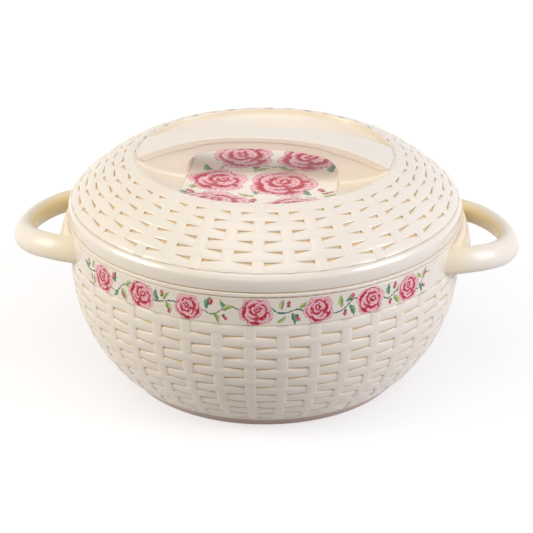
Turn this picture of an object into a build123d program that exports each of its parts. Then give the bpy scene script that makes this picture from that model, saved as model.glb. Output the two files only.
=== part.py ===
from build123d import *
import os
from math import cos, hypot, radians, sin

# Insulated chapati casserole: a foamed double-walled bowl with two loop handles and a lift-off lid.
# Millimetres. The origin is the middle of the foot on the table, +Z is up and -Y is the printed front.

FIT = 0.3                   # clearance between pieces that seat on each other

# Bowl
BOWL_HEIGHT = 112.6         # table to the top of the collar
BELLY_RADIUS = 129.9        # plain wall where the bowl is widest
BELLY_HEIGHT = 88.0         # height of the widest place
FOOT_RADIUS = 92.6          # plain wall carried down to the table
BELLY_CURVE = 2.45          # how late the wall tucks in towards the foot
WALL = 2.6                  # moulded wall of bowl and lid
BAND_RADIUS = 130.6         # smooth band above the weave
BAND_HEIGHT = 19.0
HEM = 4.5                   # smooth hem below the weave
HEM_RISE = 0.6              # hem outside the line of the plain wall

# Weave, on bowl and lid
STAKE_PAIRS = 20            # upright stakes come in pairs, so that over and under meet up round the bowl
STAKE_SHARE = 0.37          # stake width as a share of the stake spacing
BOWL_ROWS = 11
LID_ROWS = 7
STRIP_RISE = 1.5            # how far a strip stands off the wall where it passes over a stake
STRIP_TUCK = 0.2            # and where it passes under one
STAKE_RISE = 1.05
STRIP_FLAT = 3.2            # degrees each side of a stake that a strip lies flat over it
ROW_LAP = 0.1               # how far a strip laps over its row joints where it passes over a stake
TUCK_GAP = 1.45             # wall left bare at each edge of it beside the stake that it passes under
STRIP_ROOT = 0.8            # depth of the roots of strips and stakes
GROUND = 1.4                # depth of the flat-sided ring behind the strips

# Collar and inner bowl
BEAD_HEIGHT = 3.1
BEAD_RADIUS = 131.2
TONGUE_DEPTH = 4.0          # collar tongue inside the outer bowl
TONGUE = 2.2
STEEL = 0.8
MOUTH_RADIUS = 112.0        # inside of the inner bowl at its mouth
WELL_RADIUS = 99.0          # inside of the inner bowl at its floor
WELL_ROUND = 26.0
WELL_FLOOR = 20.0           # height of the floor inside
FLANGE = 5.0                # flat rim of the inner bowl

# Base cover and foam plug
COVER_HEIGHT = 6.0
FOOT_RING = 7.0             # width of the ring that the casserole stands on
FOOT_FLARE = 1.4            # foot outside the line of the plain wall
COVER_RISE = 2.2            # underside of the cover's panel above the table
PANEL = 2.2
SPIGOT_HEIGHT = 5.0
COVER_RIB_RADIUS = 52.0
COVER_RIB = 2.0
PLUG_HOLE = 9.0
PLUG_HEAD = 13.0
PLUG_THICK = 1.2
PLUG_STEM = 6.0

# Side handles
HANDLE_REACH = 164.4        # middle of the bowl to the middle of the grip at its tip
HANDLE_THICK = 11.2         # shorter and longer width of the grip's oval section
HANDLE_DEPTH = 17.6
HANDLE_LEAN = 23.0          # degrees that the oval leans, its lower side outward
HANDLE_HALF = 47.0          # half the loop's width
HANDLE_ROOT = 110.5         # middle of the bowl to the middle of the loop's curve
HANDLE_DROOP = 0.0036       # fall of the loop for each square millimetre out from the bowl
HANDLE_SECTIONS = 12
PAD_ANGLE = 18.5            # mounting pad each side of the handle's middle
PAD_FOOT = 8.0              # thickness at its lower edge
PAD_TOP = 4.5               # and at its upper edge
PAD_ROUND = 3.0
PAD_MARGIN = 0.7            # smooth band left above and below the pad

# Screws
SCREW_RADIUS = 2.0
SCREW_LENGTH = 12.0
SCREW_HEAD_RADIUS = 3.8
SCREW_HEAD = 2.4
SCREW_ANGLE = 18.5          # each side of the handle's middle
PILOT = 0.1                 # radial room round a shank
POCKET = 1.0                # room round a head in the foam

# Printed film
FILM = 0.2
FILM_BED = 0.05             # glue line under the film
BAND_LABEL_ANGLE = 62.0     # each side of the front
LABEL_MARGIN = 0.8

# Lid
LID_RADIUS = 131.0
SKIRT_TOP = 121.8           # height of the lid's outer edge
SKIRT_ROUND = 2.6
BORDER = 2.4                # smooth border between edge and weave
BORDER_RISE = 0.7
OPENING_RADIUS = 84.8
OPENING_HEIGHT = 151.6
OPENING_RIM = 1.4           # smooth rim round the opening
DOME_CURVE = 1.5            # how late the dome falls away from the opening
LEDGE = 4.0                 # inward ledge that carries the dish
DISH_DROP = 3.0             # edge of the dish below the opening
LEDGE_DROP = 5.5
SNAP = 1.0                  # bead inside the skirt that holds the liner
SNAP_HEIGHT = 1.2
LID_TURN = -2.3             # degrees that the loose lid is turned on the bowl

# Dish in the lid
DISH_FLOOR = 138.0
DISH_CURVE = 4.0
DISH_THICK = 2.2
DISH_LABEL_HALF = 50.0
DISH_LABEL_BACK = 58.0
DISH_BOSS_RADIUS = 5.0
DISH_BOSS_HEIGHT = 136.0

# Bridge handle of the lid
BRIDGE_HEIGHT = 167.3
BRIDGE_FOOT = 150.2         # height of its top at the ends
BRIDGE_CURVE = 2.6          # how late its top falls away to the ends
BRIDGE_HALF = 10.2          # half the width of its top in the middle
BRIDGE_END_HALF = 17.5      # half the width of its top at the ends
BRIDGE_FLARE = 3.6          # how much wider each side is at the dish
BRIDGE_EDGE = 3.0           # depth of the grip's full-width upper layer
BRIDGE_STEP = 0.8           # how far the sides below that layer are set back
WINDOW_HALF = 50.5          # half the length of the finger opening
WINDOW_TOP = 161.0
WINDOW_SPRING = 143.0       # height at which the opening's arch starts
WINDOW_CURVE = 2.8
LID_SCREW_X = 63.0
LID_SCREW_Y = 6.5

# Lid liner
LINER = 2.0
LINER_PLUG_RADIUS = 110.0
LINER_DEPTH = 104.5         # height of the plug's lower edge
LINER_DOME = 117.0          # height of the liner's middle, below

STAKES = 2 * STAKE_PAIRS
STEP = 360 / STAKES
STAKE_HALF = STAKE_SHARE * STEP / 2
BAND_TOP = BOWL_HEIGHT - BEAD_HEIGHT - FIT
WEAVE_TOP = BAND_TOP - BAND_HEIGHT
BOWL_BOTTOM = COVER_HEIGHT + FIT
WEAVE_BOTTOM = BOWL_BOTTOM + HEM
SKIRT_BOTTOM = BOWL_HEIGHT + FIT
DISH_RADIUS = OPENING_RADIUS - FIT
WEAVE_OUTER = LID_RADIUS - BORDER
WEAVE_INNER = OPENING_RADIUS + OPENING_RIM
DISH_EDGE = OPENING_HEIGHT - DISH_DROP
LEDGE_TOP = OPENING_HEIGHT - LEDGE_DROP
LEDGE_INNER = OPENING_RADIUS - LEDGE
HANDLE_HEIGHT = (WEAVE_TOP + BAND_TOP) / 2


def bowl_radius(height):
    """Plain wall of the bowl: upright at the belly, tucked in towards the foot."""
    fall = max(0.0, (BELLY_HEIGHT - height) / BELLY_HEIGHT)
    return BELLY_RADIUS - (BELLY_RADIUS - FOOT_RADIUS) * fall**BELLY_CURVE


def dome_height(radius):
    """Plain wall of the lid: nearly level at the opening, falling away to the edge."""
    share = max(0.0, (radius - OPENING_RADIUS) / (LID_RADIUS - OPENING_RADIUS))
    return OPENING_HEIGHT - (OPENING_HEIGHT - SKIRT_TOP) * share**DOME_CURVE


def dish_height(radius):
    """Upper face of the dish: a flat floor that turns up to the rim."""
    share = radius / DISH_RADIUS
    return DISH_FLOOR + (DISH_EDGE - DISH_FLOOR) * share**DISH_CURVE


def spread(first, last, count):
    """Values from first to last in count even steps, both ends included."""
    return [first + (last - first) * i / count for i in range(count + 1)]


def turned(corners, angle=360.0):
    """Ring turned about Z from a section; a corner is (radius, height) or (radius, height, rounding)."""
    section = Face(Wire.make_polygon([(c[0], 0, c[1]) for c in corners]))
    for radius, height, rounding in [c for c in corners if len(c) == 3]:
        corner = section.vertices().sort_by_distance((radius, 0, height))[0]
        section = section.fillet_2d(rounding, [corner])
    return Solid.revolve(section, angle, Axis.Z)


def offset_line(points, distance):
    """Line beside a wall line, moved along the wall's normal; positive is away from the hollow side."""
    moved = []
    for i, (radius, height) in enumerate(points):
        before = points[max(i - 1, 0)]
        after = points[min(i + 1, len(points) - 1)]
        length = hypot(after[0] - before[0], after[1] - before[1])
        across = ((before[1] - after[1]) / length, (after[0] - before[0]) / length)
        moved.append((radius + across[0] * distance, height + across[1] * distance))
    return moved


def even_joints(points, rows):
    """Row joints: places that cut a wall line into rows of one length."""
    line = Edge.make_spline([Vector(radius, 0, height) for radius, height in points])
    places = [line.position_at(s, position_mode=PositionMode.LENGTH) for s in spread(0, line.length, rows)]
    return [(place.X, place.Z) for place in places]


def run_on(joints, length):
    """Row joints with one more place at each end, a length further along the wall."""
    ends = []
    for end, second in ((joints[0], joints[1]), (joints[-1], joints[-2])):
        share = length / hypot(end[0] - second[0], end[1] - second[1])
        ends.append((end[0] + (end[0] - second[0]) * share, end[1] + (end[1] - second[1]) * share))
    return [ends[0], *joints, ends[1]]


def around(place, angle):
    """Point of a wall line, as (radius, height), carried round the axis to an angle."""
    return Vector(place[0] * cos(radians(angle)), place[0] * sin(radians(angle)), place[1])


def prismoid(sections):
    """Flat-faced solid through sections whose matching sides are parallel."""
    faces = [Face(Wire.make_polygon(sections[0])), Face(Wire.make_polygon(sections[-1]))]
    for near, far in zip(sections, sections[1:]):
        for i in range(len(near)):
            faces.append(Face(Wire.make_polygon([near[i - 1], near[i], far[i], far[i - 1]])))
    return Solid(Shell(faces))


def strip_section(upper, lower, angle, lean, gap, rise):
    """Section of a weft strip between two row joints at one angle, in a plane that faces the angle lean."""
    start, end = around(upper, lean), around(lower, lean)
    along = (end - start).normalized()
    across = along.cross(Vector(-sin(radians(lean)), cos(radians(lean)), 0))
    half = (end - start).length / 2 - gap
    middle = (around(upper, angle) + around(lower, angle)) / 2
    top, root = middle + across * rise, middle - across * STRIP_ROOT
    return [top - along * half, top + along * half, root + along * half, root - along * half]


def weft_strip(upper, lower, middle):
    """One strip over one stake: flat and wide there, narrower and lower where its ends pass under."""
    tuck = STEP - STAKE_HALF / 4
    return prismoid(
        [
            strip_section(upper, lower, middle - tuck, middle - STRIP_FLAT, TUCK_GAP, STRIP_TUCK),
            strip_section(upper, lower, middle - STRIP_FLAT, middle - STRIP_FLAT, -ROW_LAP, STRIP_RISE),
            strip_section(upper, lower, middle + STRIP_FLAT, middle + STRIP_FLAT, -ROW_LAP, STRIP_RISE),
            strip_section(upper, lower, middle + tuck, middle + STRIP_FLAT, TUCK_GAP, STRIP_TUCK),
        ]
    )


def stake(joints, middle):
    """One upright stake: a rib of constant angle that follows the wall from first to last row joint."""
    line = run_on(joints, ROW_LAP)
    section = offset_line(line, STAKE_RISE) + offset_line(line, -STRIP_ROOT)[::-1]
    sides = (middle - STAKE_HALF, middle + STAKE_HALF)
    return prismoid([[around(place, angle) for place in section] for angle in sides])


def ground(joints, angles):
    """Wall behind the weave: a ring whose flats lie between the stakes."""
    line = run_on(joints, ROW_LAP)
    hollow = offset_line(line, -GROUND)
    first, last = hollow[0], hollow[-1]
    hollow = [(first[0], first[1] + 2 * GROUND), *hollow, (last[0], last[1] - 2 * GROUND)]
    outside = [[around(place, angle) for angle in angles] for place in line]
    inside = [[around(place, angle) for angle in angles] for place in hollow]
    return prismoid(outside) - prismoid(inside)


def woven(wall, joints, phase):
    """Wall with plain weave on it: every strip passes over one stake and under the next, row by row."""
    angles = [phase + k * STEP for k in range(STAKES)]
    strips = []
    for row, (upper, lower) in enumerate(zip(joints, joints[1:])):
        strips += [weft_strip(upper, lower, angle) for angle in angles[(row + 1) % 2 :: 2]]
    stakes = [stake(joints, angle) for angle in angles]
    return wall.fuse(ground(joints, angles), *strips, *stakes)


def bowl_joints():
    """Row joints of the bowl's weave, from the band down to the hem."""
    return even_joints([(bowl_radius(z), z) for z in spread(WEAVE_TOP, WEAVE_BOTTOM, 12)], BOWL_ROWS)


def dome_joints():
    """Row joints of the lid's weave, from the opening down to the edge."""
    return even_joints([(r, dome_height(r)) for r in spread(WEAVE_INNER, WEAVE_OUTER, 12)], LID_ROWS)


def screw():
    """Self-tapping screw with a pan head; its seat is at the origin and its shank points along +Z."""
    head = Pos(0, 0, -SCREW_HEAD / 2) * Cylinder(SCREW_HEAD_RADIUS, SCREW_HEAD)
    head = fillet(head.edges().group_by(Axis.Z)[0], SCREW_HEAD / 3)
    shank = Pos(0, 0, SCREW_LENGTH / 2) * Cylinder(SCREW_RADIUS, SCREW_LENGTH)
    tip = shank.edges().group_by(Axis.Z)[-1]
    return head + chamfer(tip, SCREW_RADIUS / 2)


def bore(radius, start, end):
    """Cylinder from start to end along +Z, for a hole or a pocket."""
    return Pos(0, 0, (start + end) / 2) * Cylinder(radius, end - start)


def handle_screw_places(side):
    """Seats of a side handle's screws on the inside of the bowl's wall, pointing outward."""
    seats = []
    for angle in (-SCREW_ANGLE, SCREW_ANGLE):
        turn = angle if side > 0 else 180 + angle
        seat = Pos(BELLY_RADIUS - WALL - FIT / 3, 0, HANDLE_HEIGHT) * Rotation(0, 90, 0)
        seats.append(Rotation(0, 0, turn) * seat)
    return seats


def lid_screw_places():
    """Seats of the lid handle's screws under the dish's bosses, pointing up."""
    corners = [(x, y) for x in (-LID_SCREW_X, LID_SCREW_X) for y in (-LID_SCREW_Y, LID_SCREW_Y)]
    return [Pos(x, y, DISH_BOSS_HEIGHT) for x, y in corners]


def bowl_inside(gap):
    """Inside of the outer bowl from its upper edge to its lower edge, less a gap."""
    hem = (bowl_radius(BOWL_BOTTOM), BOWL_BOTTOM)
    curve = offset_line([*bowl_joints(), hem], -WALL - gap)[1:]
    upright = BELLY_RADIUS - WALL - gap
    return [(upright, BAND_TOP), (upright, WEAVE_TOP), *curve, (curve[-1][0], BOWL_BOTTOM)]


def above(line, height):
    """Part of a falling line that lies above a height, ended at that height."""
    kept = [place for place in line if place[1] > height]
    last, below = kept[-1], line[len(kept)]
    share = (last[1] - height) / (last[1] - below[1])
    return kept + [(last[0] + (below[0] - last[0]) * share, height)]


def outer_bowl():
    """Moulded outer bowl: smooth band, weave, smooth hem, open above and below."""
    joints = bowl_joints()
    outside = [
        (BAND_RADIUS, BAND_TOP),
        (BAND_RADIUS, WEAVE_TOP),
        *offset_line(joints, -GROUND / 2),
        (bowl_radius(WEAVE_BOTTOM) + HEM_RISE, WEAVE_BOTTOM),
        (bowl_radius(BOWL_BOTTOM) + HEM_RISE, BOWL_BOTTOM),
    ]
    wall = turned(outside + bowl_inside(0)[::-1]) - band_film(FILM + FILM_BED, 0)
    for seat in handle_screw_places(-1) + handle_screw_places(1):
        wall -= seat * bore(SCREW_RADIUS + PILOT, -WALL, 3 * WALL)
    return woven(wall, joints, -90)


def band_film(thick, depth):
    """Film round the front of the band, with its outer face at the band's surface less depth."""
    outer = BAND_RADIUS - depth
    low = WEAVE_TOP + LABEL_MARGIN + depth
    high = BAND_TOP - LABEL_MARGIN - depth
    section = [(outer - thick, low), (outer, low), (outer, high), (outer - thick, high)]
    ring = turned(section, 2 * BAND_LABEL_ANGLE)
    return Rotation(0, 0, -90 - BAND_LABEL_ANGLE) * ring


def rim_collar():
    """Ring that closes the gap between the bowls; its bead shows, its tongue drops into the outer bowl."""
    seat = BOWL_HEIGHT - BEAD_HEIGHT
    tongue = BELLY_RADIUS - WALL - FIT
    inner = MOUTH_RADIUS + STEEL + FIT
    step = inner + FLANGE
    rest = BOWL_HEIGHT - STEEL - 2 * FIT
    return turned(
        [
            (BEAD_RADIUS, seat, 1.0),
            (BEAD_RADIUS, BOWL_HEIGHT, 1.0),
            (step, BOWL_HEIGHT),
            (step, rest),
            (inner, rest),
            (inner, seat),
            (tongue - TONGUE, seat),
            (tongue - TONGUE, seat - TONGUE_DEPTH),
            (tongue, seat - TONGUE_DEPTH),
            (tongue, seat),
        ]
    )


def inner_bowl():
    """Spun steel bowl with a flat rim that lies in the collar's step."""
    top = BOWL_HEIGHT - FIT
    edge = MOUTH_RADIUS + STEEL + FLANGE
    return turned(
        [
            (0, WELL_FLOOR - STEEL),
            (WELL_RADIUS + STEEL, WELL_FLOOR - STEEL, WELL_ROUND + STEEL),
            (MOUTH_RADIUS + STEEL, top - STEEL),
            (edge, top - STEEL),
            (edge, top),
            (MOUTH_RADIUS, top),
            (WELL_RADIUS, WELL_FLOOR, WELL_ROUND),
            (0, WELL_FLOOR),
        ]
    )


def body_foam():
    """Foam between the two bowls, from the base cover up to the collar."""
    top = BOWL_HEIGHT - BEAD_HEIGHT - FIT
    shoulder = top - TONGUE_DEPTH
    tongue = BELLY_RADIUS - WALL - TONGUE - 2 * FIT
    bed = COVER_RISE + PANEL + FIT
    low = bed + SPIGOT_HEIGHT
    skin = STEEL + FIT
    outside = above(bowl_inside(FIT), low)
    foam = turned(
        [
            (0, bed),
            (spigot_radius() - PANEL - FIT, bed),
            (spigot_radius() - PANEL - FIT, low),
            *outside[:0:-1],
            (outside[0][0], shoulder),
            (tongue, shoulder),
            (tongue, top),
            (MOUTH_RADIUS + skin, top),
            (WELL_RADIUS + skin, WELL_FLOOR - skin, WELL_ROUND + skin),
            (0, WELL_FLOOR - skin),
        ]
    )
    for seat in handle_screw_places(-1) + handle_screw_places(1):
        foam -= seat * bore(SCREW_HEAD_RADIUS + POCKET, -SCREW_HEAD - POCKET, WALL)
    return foam - bore(PLUG_HOLE + POCKET, 0, COVER_RISE + PLUG_STEM + POCKET)


def spigot_radius():
    """Outside of the base cover's spigot, which fits inside the outer bowl's lower edge."""
    return bowl_inside(0)[-1][0] - FIT


def base_cover():
    """Cover under the bowl: the foot ring outside, a spigot that enters the bowl, a hole for the foam."""
    rim = bowl_radius(COVER_HEIGHT)
    foot = FOOT_RADIUS + FOOT_FLARE
    spigot = spigot_radius()
    panel = COVER_RISE + PANEL
    cover = turned(
        [
            (PLUG_HOLE, COVER_RISE),
            (foot - FOOT_RING, COVER_RISE),
            (foot - FOOT_RING, 0, 1.0),
            (foot, 0, 1.2),
            (rim, COVER_HEIGHT),
            (spigot, COVER_HEIGHT),
            (spigot, panel + SPIGOT_HEIGHT),
            (spigot - PANEL, panel + SPIGOT_HEIGHT),
            (spigot - PANEL, panel),
            (PLUG_HOLE, panel),
        ]
    )
    low = COVER_RISE / 2
    ring = turned(
        [
            (COVER_RIB_RADIUS, low),
            (COVER_RIB_RADIUS + COVER_RIB, low),
            (COVER_RIB_RADIUS + COVER_RIB, panel - PANEL / 2),
            (COVER_RIB_RADIUS, panel - PANEL / 2),
        ]
    )
    return cover + ring


def foam_plug():
    """Stopper pushed into the hole that the foam was poured through."""
    seat = COVER_RISE - FIT / 2
    head = bore(PLUG_HEAD, seat - PLUG_THICK, seat)
    return head + bore(PLUG_HOLE - FIT, seat - PLUG_THICK / 2, COVER_RISE + PLUG_STEM)


def grip_section(angle):
    """Oval section of a side handle's grip at one angle of its elliptic loop."""
    reach = HANDLE_REACH - HANDLE_ROOT
    out = HANDLE_ROOT + reach * cos(radians(angle))
    fall = HANDLE_DROOP * max(0.0, out - BAND_RADIUS) ** 2
    outward = (HANDLE_HALF * cos(radians(angle)), reach * sin(radians(angle)), 0)
    along = (outward[1], -outward[0], 0)
    middle = (out, HANDLE_HALF * sin(radians(angle)), HANDLE_HEIGHT - fall)
    oval = Rotation(0, 0, HANDLE_LEAN) * Ellipse(HANDLE_THICK / 2, HANDLE_DEPTH / 2)
    return Plane(middle, outward, along) * oval


def side_handle(side):
    """Loop handle: a leaning oval grip on a tapered pad that lies against the band."""
    grip = loft([grip_section(angle) for angle in spread(-90, 90, HANDLE_SECTIONS)])
    pad_low = HANDLE_HEIGHT - BAND_HEIGHT / 2 + PAD_MARGIN
    pad_high = HANDLE_HEIGHT + BAND_HEIGHT / 2 - PAD_MARGIN
    seat = BAND_RADIUS + FIT
    pad_section = [
        (seat - 1, pad_low),
        (seat + PAD_FOOT, pad_low, PAD_ROUND),
        (seat + PAD_TOP, pad_high, PAD_ROUND),
        (seat - 1, pad_high),
    ]
    pad = Rotation(0, 0, -PAD_ANGLE) * turned(pad_section, 2 * PAD_ANGLE)
    handle = (pad + grip) - bore(seat, 0, 2 * BOWL_HEIGHT)
    handle = Rotation(0, 0, 0 if side > 0 else 180) * handle
    for place in handle_screw_places(side):
        handle -= place * bore(SCREW_RADIUS + PILOT, 0, SCREW_LENGTH + POCKET)
    return handle


def lid_outer():
    """Woven dome of the lid with its smooth skirt and the round opening for the dish."""
    joints = dome_joints()
    rim = OPENING_HEIGHT + BORDER_RISE
    skirt = LID_RADIUS - WALL
    inside = [place for place in offset_line(joints, -WALL) if place[0] > OPENING_RADIUS + WALL]
    wall = turned(
        [
            (OPENING_RADIUS, rim, 0.5),
            (WEAVE_INNER, rim),
            *offset_line(joints, -GROUND / 2),
            (WEAVE_OUTER, dome_height(WEAVE_OUTER) + BORDER_RISE),
            (LID_RADIUS, SKIRT_TOP, SKIRT_ROUND),
            (LID_RADIUS, SKIRT_BOTTOM, 0.6),
            (skirt - SNAP, SKIRT_BOTTOM),
            (skirt - SNAP, SKIRT_BOTTOM + SNAP_HEIGHT / 2),
            (skirt, SKIRT_BOTTOM + SNAP_HEIGHT),
            (skirt, SKIRT_TOP - WALL - SKIRT_ROUND),
            *inside[::-1],
            (OPENING_RADIUS + WALL, LEDGE_TOP - WALL),
            (LEDGE_INNER, LEDGE_TOP - WALL),
            (LEDGE_INNER, LEDGE_TOP),
            (OPENING_RADIUS, LEDGE_TOP),
        ]
    )
    return woven(wall, joints, -90 + STEP / 2)


def dish_line(lift, reach=DISH_RADIUS):
    """Line of the dish from its axis out to a reach, raised by lift."""
    return [(r, dish_height(r) + lift) for r in spread(0, reach, 10)]


def dish_reach(height):
    """Radius at which the dish's upper face is at a height."""
    return DISH_RADIUS * ((height - DISH_FLOOR) / (DISH_EDGE - DISH_FLOOR)) ** (1 / DISH_CURVE)


def lid_dish():
    """Round dish that closes the lid's opening; its edge lies on the ledge, its bosses take the screws."""
    seat = LEDGE_TOP + FIT
    under = dish_line(-DISH_THICK, LEDGE_INNER - FIT)
    dish = turned(dish_line(0) + [(DISH_RADIUS, seat), (under[-1][0], seat)] + under[::-1])
    for place in lid_screw_places():
        top = dish_height(hypot(LID_SCREW_X, LID_SCREW_Y)) - DISH_BOSS_HEIGHT - DISH_THICK / 2
        dish += place * bore(DISH_BOSS_RADIUS, 0, top)
    for place in lid_screw_places():
        dish -= place * bore(SCREW_RADIUS + PILOT, -1, SCREW_LENGTH)
    return dish


def dish_label():
    """Printed film that crosses the dish from its front edge to behind the bridge."""
    film = turned(dish_line(FILM_BED) + dish_line(FILM_BED + FILM)[::-1])
    middle = (DISH_LABEL_BACK - DISH_RADIUS) / 2
    length = DISH_LABEL_BACK + DISH_RADIUS
    strip = Pos(0, middle, DISH_FLOOR) * Box(2 * DISH_LABEL_HALF, length, DISH_RADIUS)
    return film & strip & bore(DISH_RADIUS - OPENING_RIM, 0, 2 * OPENING_HEIGHT)


def bridge_plan(widening):
    """Outline of the bridge from above: narrowest in the middle, flared to its ends."""
    end = DISH_RADIUS
    half = BRIDGE_HALF + widening
    end_half = BRIDGE_END_HALF + widening
    near = ThreePointArc((-end, -end_half), (0, -half), (end, -end_half))
    far = ThreePointArc((end, end_half), (0, half), (-end, end_half))
    return make_face([near, Line(near @ 1, far @ 0), far, Line(far @ 1, near @ 0)])


def bridge_block(widening):
    """Block with the bridge's plan, wider towards the dish."""
    low = Pos(0, 0, DISH_FLOOR) * bridge_plan(widening + BRIDGE_FLARE)
    high = Pos(0, 0, BRIDGE_HEIGHT) * bridge_plan(widening)
    return loft([low, high], ruled=True)


def arch(half, crown, spring, curve):
    """Arch seen from the side, from one spring to the other over its crown."""
    line = [(x, crown - (crown - spring) * (abs(x) / half) ** curve) for x in spread(-half, half, 16)]
    return Spline(line)


def bridge_side(drop):
    """Side of the bridge handle, its top lowered by drop: two shoulders with the finger opening between."""
    crown = arch(DISH_RADIUS, BRIDGE_HEIGHT - drop, BRIDGE_FOOT - drop, BRIDGE_CURVE)
    foot = DISH_FLOOR
    side = make_face([crown, Polyline(crown @ 1, (DISH_RADIUS, foot), (-DISH_RADIUS, foot), crown @ 0)])
    under = arch(WINDOW_HALF, WINDOW_TOP, WINDOW_SPRING, WINDOW_CURVE)
    low = foot - 1
    sides = Polyline(under @ 1, (WINDOW_HALF, low), (-WINDOW_HALF, low), under @ 0)
    return side - make_face([under, sides])


def lid_handle():
    """Bridge handle over the dish: an arched grip between two shoulders that stand on the dish."""
    reach = 2 * BRIDGE_END_HALF
    body = extrude(Plane.XZ * bridge_side(0), reach, both=True) & bridge_block(0)
    below = extrude(Plane.XZ * bridge_side(BRIDGE_EDGE), reach, both=True)
    handle = body - (below - bridge_block(-BRIDGE_STEP))
    over = dish_line(FILM_BED + FILM + FIT)
    dish = turned(over + [(DISH_RADIUS + 1, DISH_EDGE), (DISH_RADIUS + 1, 0), (0, 0)])
    handle = (handle - dish) & bore(DISH_RADIUS - FIT, 0, 2 * BRIDGE_HEIGHT)
    for place in lid_screw_places():
        handle -= place * bore(SCREW_RADIUS + PILOT, 0, SCREW_LENGTH + POCKET)
    return handle


def lid_liner():
    """Inner lid: a flange held above the skirt's bead, a plug that enters the bowl, a domed ceiling."""
    flange = SKIRT_BOTTOM + SNAP_HEIGHT + FIT
    edge = LID_RADIUS - WALL - FIT
    plug = LINER_PLUG_RADIUS
    return turned(
        [
            (0, LINER_DOME),
            (plug - 14, LINER_DEPTH + LINER, 6.0),
            (plug - 5, LINER_DEPTH, 2.0),
            (plug, LINER_DEPTH, 2.0),
            (plug, flange),
            (edge, flange),
            (edge, flange + LINER),
            (plug - LINER, flange + LINER),
            (plug - LINER, LINER_DEPTH + LINER, 1.0),
            (plug - 5, LINER_DEPTH + LINER),
            (plug - 14, LINER_DEPTH + 2 * LINER, 4.0),
            (0, LINER_DOME + LINER),
        ]
    )


def lid_foam():
    """Foam between the liner and the woven dome."""
    flange = SKIRT_BOTTOM + SNAP_HEIGHT + LINER + 2 * FIT
    plug = LINER_PLUG_RADIUS - LINER - FIT
    ring = OPENING_RADIUS + WALL + FIT
    roof = [place for place in offset_line(dome_joints(), -WALL - FIT) if place[0] > ring]
    skirt = LID_RADIUS - WALL - FIT
    ledge = LEDGE_TOP - WALL - FIT
    drop = DISH_THICK + FIT
    foam = turned(
        [
            (0, LINER_DOME + LINER + FIT),
            (plug - 12, LINER_DEPTH + 2 * LINER + FIT),
            (plug - 2, LINER_DEPTH + LINER + FIT),
            (plug, LINER_DEPTH + LINER + FIT + 1),
            (plug, flange),
            (skirt, flange),
            (skirt, SKIRT_TOP - WALL - SKIRT_ROUND - FIT),
            *roof[::-1],
            (ring, ledge),
            *dish_line(-drop, dish_reach(ledge + drop))[::-1],
        ]
    )
    for place in lid_screw_places():
        foam -= place * bore(DISH_BOSS_RADIUS + POCKET, -SCREW_HEAD - POCKET, SCREW_LENGTH)
    return foam


def grouped(places):
    """Screws of one kind, one at each place, kept as separate solids of one node."""
    return Compound([place * screw() for place in places])


def lid_pieces():
    """Pieces of the lid, turned together as the loose lid is."""
    pieces = {
        "lid_outer": lid_outer(),
        "lid_dish": lid_dish(),
        "dish_label": dish_label(),
        "lid_handle": lid_handle(),
        "lid_handle_screws": grouped(lid_screw_places()),
        "lid_liner": lid_liner(),
        "lid_foam": lid_foam(),
    }
    return {name: Rotation(0, 0, LID_TURN) * piece for name, piece in pieces.items()}


def bowl_pieces():
    """Pieces of the bowl, which stays on the table."""
    return {
        "outer_bowl": outer_bowl(),
        "rim_collar": rim_collar(),
        "inner_bowl": inner_bowl(),
        "body_foam": body_foam(),
        "base_cover": base_cover(),
        "foam_plug": foam_plug(),
        "handle_left": side_handle(-1),
        "handle_right": side_handle(1),
        "handle_screws_left": grouped(handle_screw_places(-1)),
        "handle_screws_right": grouped(handle_screw_places(1)),
        "band_label": band_film(FILM, 0),
    }


os.makedirs("parts", exist_ok=True)
for name, piece in (bowl_pieces() | lid_pieces()).items():
    export_step(piece, f"parts/{name}.step")
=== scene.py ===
from functools import partial
from math import atan2, cos, hypot, pi, radians, sin, sqrt

import bmesh
import bpy
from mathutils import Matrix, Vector


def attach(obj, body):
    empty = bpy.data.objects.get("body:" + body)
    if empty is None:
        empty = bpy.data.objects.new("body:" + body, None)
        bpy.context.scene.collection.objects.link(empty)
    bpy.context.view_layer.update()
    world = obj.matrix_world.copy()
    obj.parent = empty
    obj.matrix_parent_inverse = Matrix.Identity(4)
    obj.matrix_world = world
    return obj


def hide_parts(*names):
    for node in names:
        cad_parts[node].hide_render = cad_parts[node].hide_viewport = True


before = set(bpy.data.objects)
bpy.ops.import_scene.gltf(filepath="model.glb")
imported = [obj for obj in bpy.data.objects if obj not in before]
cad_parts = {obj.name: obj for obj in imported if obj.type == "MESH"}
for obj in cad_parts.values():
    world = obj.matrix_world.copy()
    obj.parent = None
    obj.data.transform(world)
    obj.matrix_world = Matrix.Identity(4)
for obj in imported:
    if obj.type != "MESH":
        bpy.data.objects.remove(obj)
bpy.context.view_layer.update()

# Studio: a pale table top under a wide soft lamp, with a stronger lamp far out on each side, warm on the left
# and cool on the right. A camera with a long lens stands in front, a little to the right, and looks down.
scene = bpy.context.scene
scene.view_settings.view_transform = "Standard"
CAMERA_TARGET, CAMERA_DISTANCE = Vector((0, 0, 0.075)), 1.2684
CAMERA_RISE, CAMERA_TURN = radians(24.84), radians(4.2)
camera_data = bpy.data.cameras.new("studio_camera")
camera_data.lens, camera_data.sensor_width = 126.1, 36
camera_data.shift_x, camera_data.shift_y = 0.0028, -0.0134
camera = bpy.data.objects.new("studio_camera", camera_data)
camera.location = CAMERA_TARGET + CAMERA_DISTANCE * Vector(
    (sin(CAMERA_TURN) * cos(CAMERA_RISE), -cos(CAMERA_TURN) * cos(CAMERA_RISE), sin(CAMERA_RISE))
)
camera.rotation_euler = (CAMERA_TARGET - camera.location).to_track_quat("-Z", "Y").to_euler()
scene.collection.objects.link(camera)
scene.camera = camera

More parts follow.
